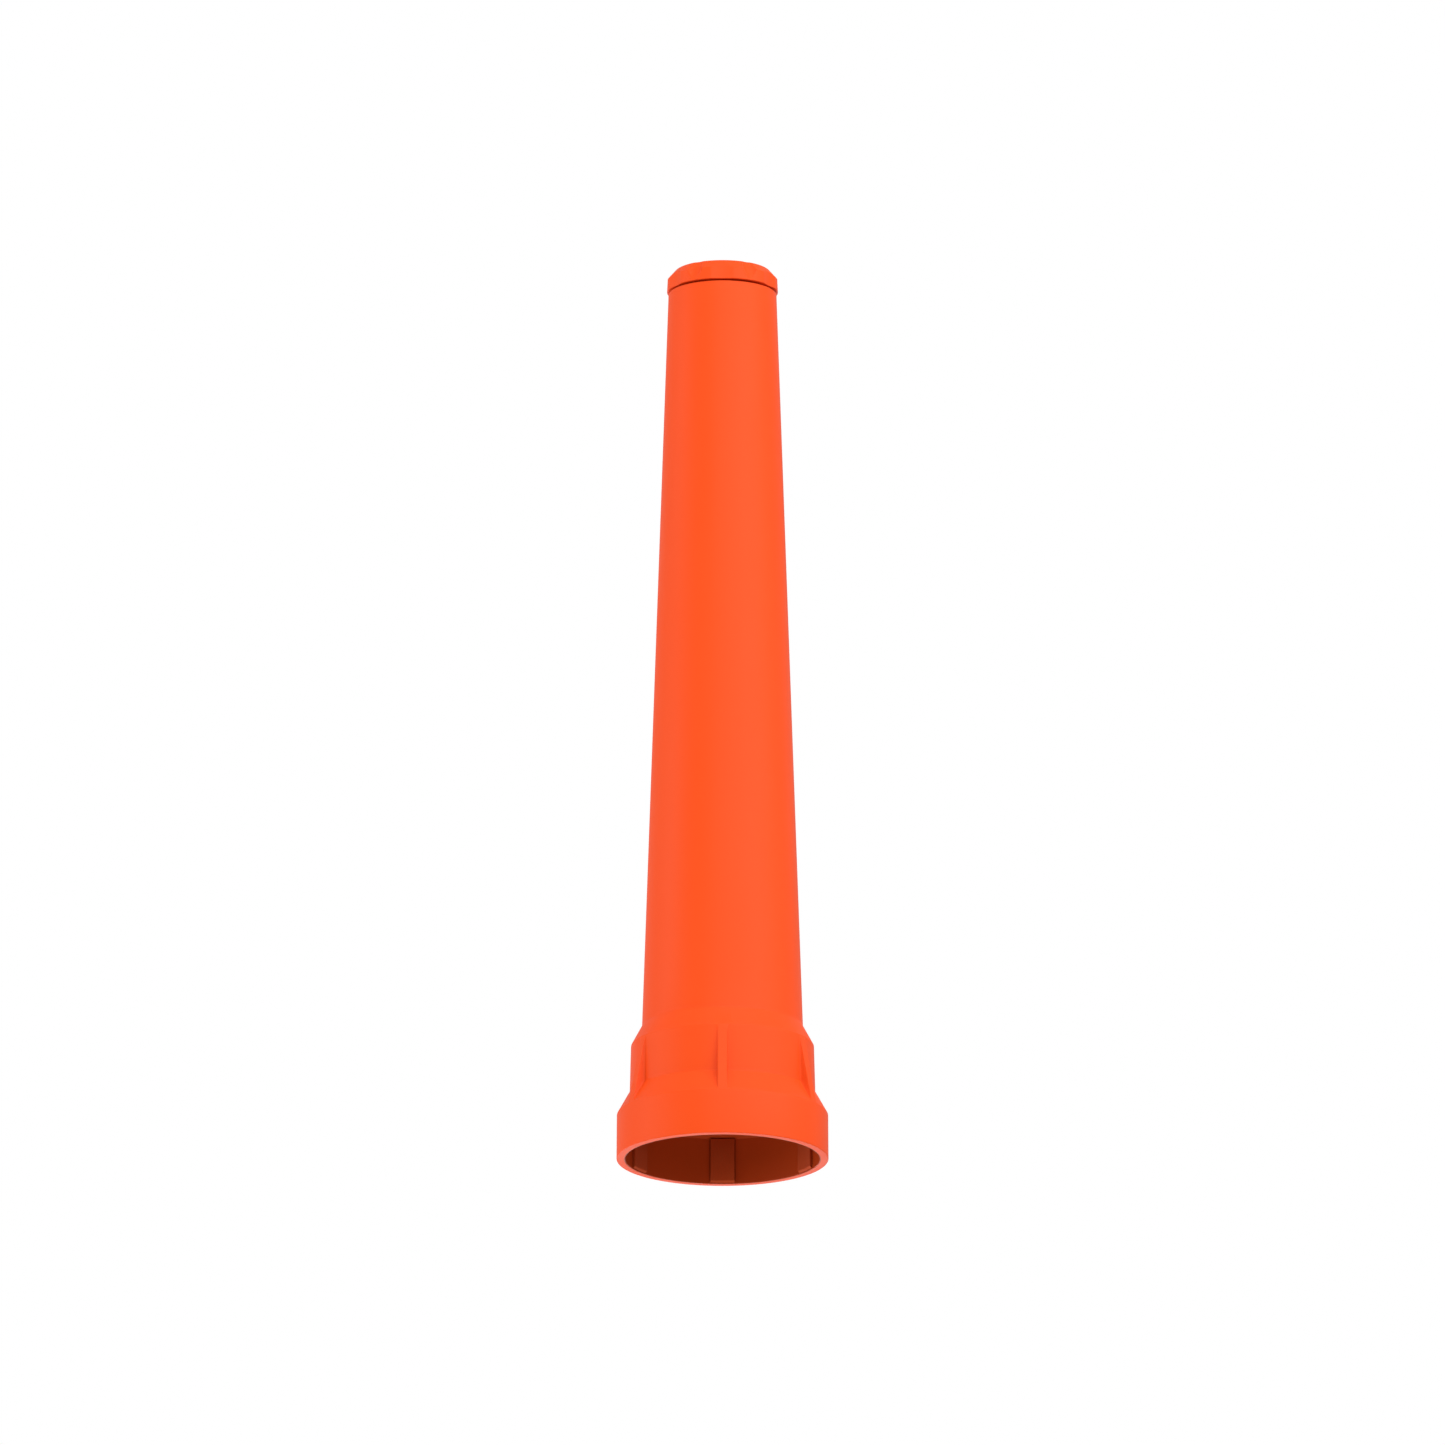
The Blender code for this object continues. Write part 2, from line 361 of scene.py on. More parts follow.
def new_tree(
    name: str, sizes: Sequence[tuple[str, str]]
) -> tuple[bpy.types.NodeTree, bpy.types.Node]:
    """Start a Geometry Nodes tree with a geometry in and out and the named inputs.

    Args:
        name: Name of the tree.
        sizes: Name and socket type of each further input.

    Returns:
        The tree and its Group Input node.
    """
    tree = bpy.data.node_groups.new(name, "GeometryNodeTree")
    tree.interface.new_socket("Geometry", in_out="INPUT", socket_type="NodeSocketGeometry")
    tree.interface.new_socket("Geometry", in_out="OUTPUT", socket_type="NodeSocketGeometry")
    for label, kind in sizes:
        tree.interface.new_socket(label, in_out="INPUT", socket_type=kind)
    return tree, add_node(tree, "NodeGroupInput")


def close_tree(
    tree: bpy.types.NodeTree, geometry: bpy.types.NodeSocket, material: bpy.types.NodeSocket
) -> None:
    """End a tree in Realize Instances and Set Material.

    Args:
        tree: The tree.
        geometry: What it made.
        material: The material to set on it.
    """
    real = add_node(tree, "GeometryNodeRealizeInstances", links={"Geometry": geometry})
    dressed = add_node(
        tree, "GeometryNodeSetMaterial", links={"Geometry": real.outputs[0], "Material": material}
    )
    add_node(tree, "NodeGroupOutput", links={"Geometry": dressed.outputs[0]})


# ------------------------------------------------------------------------------
# Finishes
# ------------------------------------------------------------------------------


@dataclass(frozen=True)
class MouldedPlastic:
    """Injection-moulded orange polyethylene: dense pigment, satin skin, a little light in its depth.

    The colours and the low gloss are fitted to one view under this studio's lamps, and aren't
    measured. Real polyethylene is glossier. The inner wall's browner tone stands in for less bounced
    light, and isn't a property of the plastic. A spark-eroded tool is assumed, whose fine even grain
    of about 0.2 mm is drawn at 0.45 mm so that it shows. The faint clouds of colour that the melt's
    flow would leave, a couple of centimetres long, are assumed too.
    """

    name: str = "orange moulded polyethylene"
    colour: str = "#e14815"
    cloud_colour: str = "#e24a17"
    # painted shade: the darker brown that the socket and bore walls take, for the light that bounces
    # less inside them
    inner_shade_colour: str = "#a93a10"
    gloss: float = 0.10
    roughness: float = 0.45
    roughness_spread: float = 0.06
    ior: float = 1.51
    grain_mm: float = 0.45
    grain_height_mm: float = 0.006
    cloud_mm: float = 22.0
    cloud_stretch: tuple[float, float, float] = (1.0, 1.0, 0.35)
    # how near a wall number must be to the inner walls' to take the painted shade
    inner_shade_reach: float = 0.6
    depth_weight: float = 0.02
    depth_mm: tuple[float, float, float] = (1.6, 0.5, 0.2)

    def material(self) -> bpy.types.Material:
        """Build the material.

        Returns:
            The new material.
        """
        material = bpy.data.materials.new(self.name)
        material.use_nodes = True
        tree = material.node_tree
        shader = tree.nodes["Principled BSDF"]
        place = add_node(tree, "ShaderNodeTexCoord").outputs["Object"]
        drawn = add_node(
            tree, "ShaderNodeMapping", links={"Vector": place, "Scale": self.cloud_stretch}
        ).outputs[0]
        cloud = add_node(
            tree,
            "ShaderNodeTexNoise",
            links={
                "Vector": drawn,
                "Scale": 1 / (self.cloud_mm * MM),
                "Detail": 3.0,
                "Roughness": 0.55,
            },
        ).outputs[0]
        colour = add_node(
            tree,
            "ShaderNodeMix",
            {"data_type": "RGBA"},
            {0: cloud, 6: linear(self.colour), 7: linear(self.cloud_colour)},
        )
        # The socket and bore walls are mixed to a darker brown: painted shade for the light that
        # bounces less inside, not a colour of the plastic.
        wall = add_node(tree, "ShaderNodeAttribute", {"attribute_name": "wall"}).outputs["Fac"]
        inner = (Wall.SOCKET.value + Wall.BORE.value) / 2
        core = add_node(
            tree, "ShaderNodeMath", {"operation": "COMPARE"}, {0: wall, 1: inner, 2: self.inner_shade_reach}
        )
        pigment = add_node(
            tree,
            "ShaderNodeMix",
            {"data_type": "RGBA"},
            {0: core.outputs[0], 6: colour.outputs[2], 7: linear(self.inner_shade_colour)},
        )
        grain = add_node(
            tree,
            "ShaderNodeTexNoise",
            links={
                "Vector": place,
                "Scale": 1 / (self.grain_mm * MM),
                "Detail": 2.0,
                "Roughness": 0.6,
            },
        ).outputs[0]
        gloss = add_node(
            tree,
            "ShaderNodeMapRange",
            links={
                "Value": cloud,
                "From Min": 0.3,
                "From Max": 0.7,
                "To Min": self.roughness - self.roughness_spread,
                "To Max": self.roughness + self.roughness_spread,
            },
        )
        bump = add_node(
            tree,
            "ShaderNodeBump",
            links={"Height": grain, "Strength": 1.0, "Distance": self.grain_height_mm * MM},
        )
        # The base colour carries the painted shade of the inner walls.
        tree.links.new(pigment.outputs[2], shader.inputs["Base Color"])
        tree.links.new(gloss.outputs[0], shader.inputs["Roughness"])
        tree.links.new(bump.outputs[0], shader.inputs["Normal"])
        shader.inputs["IOR"].default_value = self.ior
        shader.inputs["Specular IOR Level"].default_value = self.gloss
        shader.inputs["Subsurface Weight"].default_value = self.depth_weight
        shader.inputs["Subsurface Radius"].default_value = self.depth_mm
        shader.inputs["Subsurface Scale"].default_value = MM
        return material


@dataclass(frozen=True)
class SoftElastomer:
    """Orange thermoplastic elastomer from a matte tool: dull, with a fine dusty grain of 0.3 mm.

    Its colour is fitted along with the inner wall's: an orange elastomer whose darkness is partly
    painted shade of the socket. The material and its grain are assumed.
    """

    name: str = "orange matte elastomer"
    # partly painted shade: as dark as the socket walls' painted shade, since the pads sit in it
    colour: str = "#a83b12"
    dust_colour: str = "#ad421a"
    gloss: float = 0.1
    roughness: float = 0.72
    ior: float = 1.48
    grain_mm: float = 0.3
    grain_height_mm: float = 0.012
    dust_mm: float = 3.0
    sheen: float = 0.02

    def material(self) -> bpy.types.Material:
        """Build the material.

        Returns:
            The new material.
        """
        material = bpy.data.materials.new(self.name)
        material.use_nodes = True
        tree = material.node_tree
        shader = tree.nodes["Principled BSDF"]
        place = add_node(tree, "ShaderNodeTexCoord").outputs["Object"]
        dust = add_node(
            tree,
            "ShaderNodeTexNoise",
            links={"Vector": place, "Scale": 1 / (self.dust_mm * MM), "Detail": 4.0},
        ).outputs[0]
        colour = add_node(
            tree,
            "ShaderNodeMix",
            {"data_type": "RGBA"},
            {0: dust, 6: linear(self.colour), 7: linear(self.dust_colour)},
        )
        grain = add_node(
            tree, "ShaderNodeTexNoise", links={"Vector": place, "Scale": 1 / (self.grain_mm * MM)}
        ).outputs[0]
        bump = add_node(
            tree,
            "ShaderNodeBump",
            links={"Height": grain, "Strength": 1.0, "Distance": self.grain_height_mm * MM},
        )
        tree.links.new(colour.outputs[2], shader.inputs["Base Color"])
        tree.links.new(bump.outputs[0], shader.inputs["Normal"])
        shader.inputs["Roughness"].default_value = self.roughness
        shader.inputs["IOR"].default_value = self.ior
        shader.inputs["Specular IOR Level"].default_value = self.gloss
        shader.inputs["Sheen Weight"].default_value = self.sheen
        return material


@dataclass(frozen=True)
class SealSilicone:
    """Brick-red silicone rubber from a polished tool: smooth, a little greasy, with specks of talc.

    The ring lies in shade, so all of this is assumed.
    """

    name: str = "red silicone rubber"
    colour: str = "#8f2c12"
    talc_colour: str = "#a8472b"
    roughness: float = 0.38
    ior: float = 1.43
    talc_mm: float = 0.8

    def material(self) -> bpy.types.Material:
        """Build the material.

        Returns:
            The new material.
        """
        material = bpy.data.materials.new(self.name)
        material.use_nodes = True
        tree = material.node_tree
        shader = tree.nodes["Principled BSDF"]
        place = add_node(tree, "ShaderNodeTexCoord").outputs["Object"]
        talc = add_node(
            tree,
            "ShaderNodeTexNoise",
            links={"Vector": place, "Scale": 1 / (self.talc_mm * MM), "Detail": 3.0},
        ).outputs[0]
        specks = add_node(
            tree, "ShaderNodeMapRange", links={"Value": talc, "From Min": 0.55, "From Max": 0.8}
        ).outputs[0]
        colour = add_node(
            tree,
            "ShaderNodeMix",
            {"data_type": "RGBA"},
            {0: specks, 6: linear(self.colour), 7: linear(self.talc_colour)},
        )
        tree.links.new(colour.outputs[2], shader.inputs["Base Color"])
        shader.inputs["Roughness"].default_value = self.roughness
        shader.inputs["IOR"].default_value = self.ior
        return material


# ------------------------------------------------------------------------------
# The screw thread that the body and the cap share
# ------------------------------------------------------------------------------


class ThreadSide(Enum):
    """Which of the two mating threads a ridge belongs to."""

    PLUG = 1
    NUT = -1


@dataclass(frozen=True)
class Thread:
    """A right-hand trapezoid thread. Sizes are in millimetres."""

    side: ThreadSide
    root_radius: float
    crest_radius: float
    start: float
    foot_z: float = 204.8
    pitch: float = 3.0
    turns: float = 1.5
    root_width: float = 1.5
    crest_width: float = 0.7
    run_out: float = 1 / 12

    def lift(self, azimuth: Grid, height: Grid) -> Grid:
        """How far the ridge moves its wall away from the axis, in metres.

        Args:
            azimuth: Azimuth of each point.
            height: Its height in metres.

        Returns:
            The change of radius, negative for a nut.
        """
        turned = ((azimuth - self.start) / (2 * pi)) % 1.0
        climbed = (height / MM - self.foot_z) / self.pitch
        lap = np.round(climbed - turned)
        off = np.abs(climbed - turned - lap) * self.pitch
        along = lap + turned
        flank = (self.root_width - self.crest_width) / 2
        shape = np.clip((self.root_width / 2 - off) / flank, 0.0, 1.0)
        ends = np.clip(along / self.run_out, 0, 1)
        ends = ends * np.clip((self.turns - along) / self.run_out, 0, 1)
        eased = ends * ends * (3 - 2 * ends)
        return (self.crest_radius - self.root_radius) * MM * shape * eased


# ------------------------------------------------------------------------------
# The wand body
# ------------------------------------------------------------------------------


@dataclass
class WandBody:
    """The one-piece moulding. Sizes are in millimetres."""

    collar_radius: float
    top_z: float
    wall: float = 2.06
    collar_top: tuple[float, float] = (24.93, 10.64)
    band: tuple[float, float] = (21.9, 16.06)
    band_top: tuple[float, float] = (21.6, 27.4)
    tube: tuple[float, float] = (19.0, 32.2)
    tube_top_radius: float = 12.8
    seat_z: float = 11.3
    seat_radius: float = 22.2
    seat_width: float = 1.3
    seat_lead: float = 0.3
    nut_radius: float = 10.8
    nut_foot_z: float = 203.4
    mouth: tuple[float, float] = (11.6, 1.5)
    recess_half_width: float = 2.995
    recess_back: float = 23.55
    recess_z: tuple[float, float] = (0.78, 11.02)
    recess_edge: float = 0.02
    recess_corner: float = 0.05  # degrees to either side of a recess's corner
    gusset_width: float = 2.2
    gusset_foot_radius: float = 24.92
    gusset_top_radius: float = 21.62
    gusset_steepness: float = 9.0
    gusset_fillet: float = 0.2
    gusset_flare: float = 1.1
    gusset_row: float = 0.4
    gusset_margin: tuple[float, float] = (1.0, 1.5)
    lead_span: float = 10.0  # degrees over which the columns lean back to upright
    last_mark: float = 8.2  # degrees
    column_step: float = 2.0  # degrees
    gusset_columns: tuple[float, ...] = (
        0.5, 0.9, 1.05, 1.13, 1.2, 1.28, 1.36, 1.44, 1.52, 1.6, 1.7, 1.8, 1.9, 2.05, 2.25, 2.5
    )
    thread: Thread = Thread(ThreadSide.NUT, 10.8, 9.9, start=-pi / 2)

    def corners(self) -> list[Corner]:
        """Lay out the moulding's outline, down its outside from the mouth and back up its bore.

        Returns:
            The corners in order.
        """
        inner = self.collar_radius - self.wall
        share = (self.nut_foot_z - self.tube[1]) / (self.top_z - self.tube[1])
        bore = self.tube[0] + share * (self.tube_top_radius - self.tube[0]) - self.wall
        edge = self.recess_edge
        return [
            Corner(self.mouth[0], self.top_z, 0.15),
            Corner(self.tube_top_radius, self.top_z, 0.2),
            Corner(*self.tube, 1.5),
            Corner(*self.band_top, 0.5),
            Corner(*self.band, 0.6),
            Corner(*self.collar_top, 0.3),
            Corner(self.collar_radius, 0.0, 0.2),
            Corner(inner, 0.0, 0.12, wall=Wall.SOCKET),
            Corner(inner, self.recess_z[0] - edge, wall=Wall.SOCKET),
            Corner(inner, self.recess_z[0] + edge, wall=Wall.SOCKET),
            Corner(inner, self.seat_z - self.seat_lead, 0.1, wall=Wall.SOCKET),
            Corner(self.seat_radius, self.seat_z, wall=Wall.BORE),
            Corner(self.seat_radius - self.seat_width, self.seat_z, 0.15, wall=Wall.BORE),
            Corner(self.band[0] - self.wall, self.band[1], 0.8, wall=Wall.BORE),
            Corner(
                self.band_top[0] - self.wall, self.band_top[1] - self.wall / 4, 0.8, wall=Wall.BORE
            ),
            Corner(self.tube[0] - self.wall, self.tube[1], 0.8, wall=Wall.BORE),
            Corner(bore, self.nut_foot_z, wall=Wall.BORE),
            Corner(self.nut_radius, self.nut_foot_z + 0.4, pitch=THREAD_ROW, wall=Wall.THREAD),
            Corner(self.nut_radius, self.top_z - self.mouth[1], 0.1, wall=Wall.FACE),
            Corner(self.mouth[0], self.top_z - self.mouth[1], 0.1, wall=Wall.FACE),
        ]

    def carve(self, azimuth: Grid, radius: Grid, height: Grid, wall: Grid) -> tuple[Grid, Grid]:
        """Sink the pad recesses, raise the nut thread, and lead columns along the gussets' edges.

        Args:
            azimuth: Azimuth of each point.
            radius: Its radius.
            height: Its height.
            wall: Its wall number.

        Returns:
            The new azimuths and radii.
        """
        aside = fold_azimuth(azimuth)
        levels = np.array([self.collar_top[1], self.band_top[1]]) * MM
        crest = np.interp(height, levels, [self.gusset_foot_radius, self.gusset_top_radius])
        led = np.arcsin(np.sin(aside) * self.collar_top[0] / crest)
        share = np.clip(2.0 - np.abs(aside) / radians(self.lead_span), 0.0, 1.0)
        azimuth = np.where(wall == Wall.OUTSIDE.value, azimuth + share * (led - aside), azimuth)
        inside = np.abs(radius * np.sin(aside)) < self.recess_half_width * MM
        level = (height > self.recess_z[0] * MM) & (height < self.recess_z[1] * MM)
        recess = inside & level & (wall == Wall.SOCKET.value)
        radius = np.where(recess, self.recess_back * MM / np.cos(aside), radius)
        threaded = wall == Wall.THREAD.value
        return azimuth, np.where(threaded, radius + self.thread.lift(azimuth, height), radius)

    def gusset_tree(self) -> bpy.types.NodeTree:
        """Build the rule that raises a gusset in the middle of each sector, filleted along its foot.

        Returns:
            The Geometry Nodes tree. Its lengths are in metres.
        """
        sizes = ["Foot Radius", "Foot Height", "Top Radius", "Top Height"]
        sizes += ["Half Width", "Fillet", "Flare", "Steepness"]
        kinds = [(size, "NodeSocketFloat") for size in sizes]
        kinds += [("Count", "NodeSocketInt"), ("Wall", "NodeSocketInt")]
        kinds += [("Material", "NodeSocketMaterial")]
        tree, given = new_tree("raise gussets", kinds)
        size = given.outputs
        place = add_node(tree, "GeometryNodeInputPosition").outputs[0]
        axes = add_node(tree, "ShaderNodeSeparateXYZ", links={0: place}).outputs
        level = add_node(tree, "ShaderNodeCombineXYZ", links={0: axes[0], 1: axes[1]}).outputs[0]

        def work(
            operation: str, first: Link, second: Link = 0.0, third: Link = 0.0
        ) -> bpy.types.NodeSocket:
            """Add one step of arithmetic and give its result."""
            sums = {"operation": operation}
            return add_node(tree, "ShaderNodeMath", sums, {0: first, 1: second, 2: third}).outputs[0]

        radius = add_node(
            tree, "ShaderNodeVectorMath", {"operation": "LENGTH"}, {0: level}
        ).outputs["Value"]
        azimuth = work("ARCTAN2", axes[0], work("MULTIPLY", axes[1], -1.0))
        half = work("DIVIDE", pi, size["Count"])
        aside = work("WRAP", azimuth, half, work("MULTIPLY", half, -1.0))
        over_foot = work("SUBTRACT", axes[2], size["Foot Height"])
        under_top = work("SUBTRACT", size["Top Height"], axes[2])
        slope = work(
            "DIVIDE",
            work("SUBTRACT", size["Top Radius"], size["Foot Radius"]),
            work("SUBTRACT", size["Top Height"], size["Foot Height"]),
        )
        crest = work("MULTIPLY_ADD", over_foot, slope, size["Foot Radius"])
        beside = work(
            "SUBTRACT",
            work("MULTIPLY", crest, work("ABSOLUTE", work("SINE", aside))),
            size["Half Width"],
        )
        rise = work("SUBTRACT", crest, radius)
        for inside in (over_foot, under_top):
            near = work("SUBTRACT", 1.0, work("DIVIDE", inside, size["Flare"]))
            near = work("MINIMUM", work("MAXIMUM", near, 0.0), 1.0)
            left = work("SUBTRACT", 1.0, work("MULTIPLY", near, near))
            swell = work("SUBTRACT", 1.0, work("SQRT", left))
            beside = work("SUBTRACT", beside, work("MULTIPLY", swell, size["Flare"]))
            past = work("MULTIPLY", work("MINIMUM", inside, 0.0), size["Steepness"])
            rise = work("ADD", rise, past)
        rise = work("MAXIMUM", rise, 0.0)
        drop = work("MULTIPLY", work("MAXIMUM", beside, 0.0), size["Steepness"])
        flank = work("SUBTRACT", rise, drop)
        foot = work("DIVIDE", work("SUBTRACT", rise, size["Fillet"]), size["Steepness"])
        away = work("MAXIMUM", work("SUBTRACT", beside, foot), 0.0)
        left = work("MAXIMUM", work("SUBTRACT", size["Fillet"], away), 0.0)
        square = work("SUBTRACT", work("POWER", size["Fillet"], 2.0), work("POWER", left, 2.0))
        fillet = work("SUBTRACT", size["Fillet"], work("SQRT", work("MAXIMUM", square, 0.0)))
        gain = work("MAXIMUM", work("MINIMUM", fillet, rise), flank)
        scale = work("DIVIDE", work("ADD", radius, gain), radius)
        spread = add_node(
            tree, "ShaderNodeCombineXYZ", links={0: scale, 1: scale, 2: 1.0}
        ).outputs[0]
        moved = add_node(
            tree, "ShaderNodeVectorMath", {"operation": "MULTIPLY"}, {0: place, 1: spread}
        ).outputs[0]
        wall = add_node(
            tree, "GeometryNodeInputNamedAttribute", {"data_type": "INT"}, {"Name": "wall"}
        ).outputs[0]
        outer = add_node(
            tree,
            "FunctionNodeCompare",
            {"data_type": "INT", "operation": "EQUAL"},
            {2: wall, 3: size["Wall"]},
        ).outputs[0]
        shaped = add_node(
            tree,
            "GeometryNodeSetPosition",
            links={"Geometry": size["Geometry"], "Selection": outer, "Position": moved},
        )
        close_tree(tree, shaped.outputs[0], size["Material"])
        return tree

    def build(self, material: bpy.types.Material) -> bpy.types.Object:
        """Make the moulding.

        Args:
            material: Its finish.

        Returns:
            The finished piece.
        """
        rows = self.refined(outline_rows(self.corners(), closed=True))
        marks = [degrees(asin(aside / self.collar_top[0])) for aside in self.gusset_columns]
        corner = degrees(asin(self.recess_half_width / (self.collar_radius - self.wall)))
        marks += [corner - self.recess_corner, corner + self.recess_corner, self.last_mark]
        columns = sector_columns(marks, self.column_step)
        base = turned_mesh("wand_base", rows, columns, self.carve, closed=True)
        values = {
            "Foot Radius": self.gusset_foot_radius * MM,
            "Foot Height": self.collar_top[1] * MM,
            "Top Radius": self.gusset_top_radius * MM,
            "Top Height": self.band_top[1] * MM,
            "Half Width": self.gusset_width / 2 * MM,
            "Fillet": self.gusset_fillet * MM,
            "Flare": self.gusset_flare * MM,
            "Steepness": self.gusset_steepness,
            "Count": FOLD,
            "Wall": Wall.OUTSIDE.value,
            "Material": material,
        }
        mesh = grown(base, self.gusset_tree(), values)
        return finish_mesh(mesh, "wand_moulding", material, crease=50)

    def refined(self, rows: Sequence[Row]) -> list[Row]:
        """Put rows closer together on the outside where the gussets stand.

        Args:
            rows: The outline's rows.

        Returns:
            The rows with the closer ones added.
        """
        low = (self.collar_top[1] - self.gusset_margin[0]) * MM
        high = (self.band_top[1] + self.gusset_margin[1]) * MM
        result: list[Row] = []
        for row, follow in zip(rows, [*rows[1:], rows[0]]):
            result.append(row)
            level = low < min(row.z, follow.z) and max(row.z, follow.z) < high
            if level and row.wall is Wall.OUTSIDE:
                result += rows_between(row, follow, self.gusset_row * MM)
        return result


# ------------------------------------------------------------------------------
# The grip pads
# ------------------------------------------------------------------------------


@dataclass
class GripPads:
    """Six soft strips let into the socket wall, lipped over its lower edge.

    Sizes are in millimetres.
    """

    width: float
    back_radius: float
    lip_z: float
    head_z: float
    face_radius: float = 22.33
    lip_radius: float = 22.82
    foot_z: float = 0.9
    edge: float = 0.09
    columns: int = 12

    def strip(self) -> bpy.types.Mesh:
        """Make one strip, at the front of the socket, with a lead-in at its foot and soft edges.

        Returns:
            The strip's mesh.
        """
        section = (
            (self.lip_radius, self.lip_z),
            (self.lip_radius, self.foot_z),
            (self.back_radius, self.foot_z),
            (self.back_radius, self.head_z),
            (self.face_radius, self.head_z),
            (self.face_radius, self.lip_z + self.lip_radius - self.face_radius),
        )
        shape = bmesh.new()
        slices = []
        for i in range(self.columns + 1):
            x = self.width * (i / self.columns - 0.5)
            places = [(x * MM, -sqrt(r * r - x * x) * MM, z * MM) for r, z in section]
            slices.append([shape.verts.new(point) for point in places])
        for low, high in zip(slices, slices[1:]):
            for i in range(len(section)):
                j = (i + 1) % len(section)
                shape.faces.new((low[i], low[j], high[j], high[i]))
        shape.faces.new(slices[0])
        shape.faces.new(slices[-1])
        bmesh.ops.recalc_face_normals(shape, faces=shape.faces)
        corners = [edge for edge in shape.edges if edge.calc_face_angle() > radians(30)]
        bmesh.ops.bevel(
            shape, geom=corners, offset=self.edge * MM, segments=3, profile=0.5, affect="EDGES"
        )
        mesh = bpy.data.meshes.new("grip_strip")
        shape.to_mesh(mesh)
        shape.free()
        return mesh

    def ring_tree(self) -> bpy.types.NodeTree:
        """Build the tree that sets copies of its geometry evenly round the Z axis.

        Returns:
            The Geometry Nodes tree.
        """
        tree, given = new_tree(
            "ring of copies", [("Count", "NodeSocketInt"), ("Material", "NodeSocketMaterial")]
        )
        size = given.outputs
        centres = add_node(tree, "GeometryNodePoints", links={"Count": size["Count"]})
        index = add_node(tree, "GeometryNodeInputIndex").outputs[0]
        step = add_node(
            tree, "ShaderNodeMath", {"operation": "DIVIDE"}, {0: 2 * pi, 1: size["Count"]}
        ).outputs[0]
        angle = add_node(
            tree, "ShaderNodeMath", {"operation": "MULTIPLY"}, {0: index, 1: step}
        ).outputs[0]
        turn = add_node(tree, "ShaderNodeCombineXYZ", links={2: angle})
        copies = add_node(
            tree,
            "GeometryNodeInstanceOnPoints",
            links={
                "Points": centres.outputs[0],
                "Instance": size["Geometry"],
                "Rotation": turn.outputs[0],
            },
        )
        close_tree(tree, copies.outputs[0], size["Material"])
        return tree

    def build(self, material: bpy.types.Material) -> bpy.types.Object:
        """Make the six strips.

        Args:
            material: Their finish.

        Returns:
            The finished piece.
        """
        values = {"Count": FOLD, "Material": material}
        mesh = grown(self.strip(), self.ring_tree(), values)
        return finish_mesh(mesh, "grip_strips", material, crease=50)


# ------------------------------------------------------------------------------
# The end cap and its seal
# ------------------------------------------------------------------------------


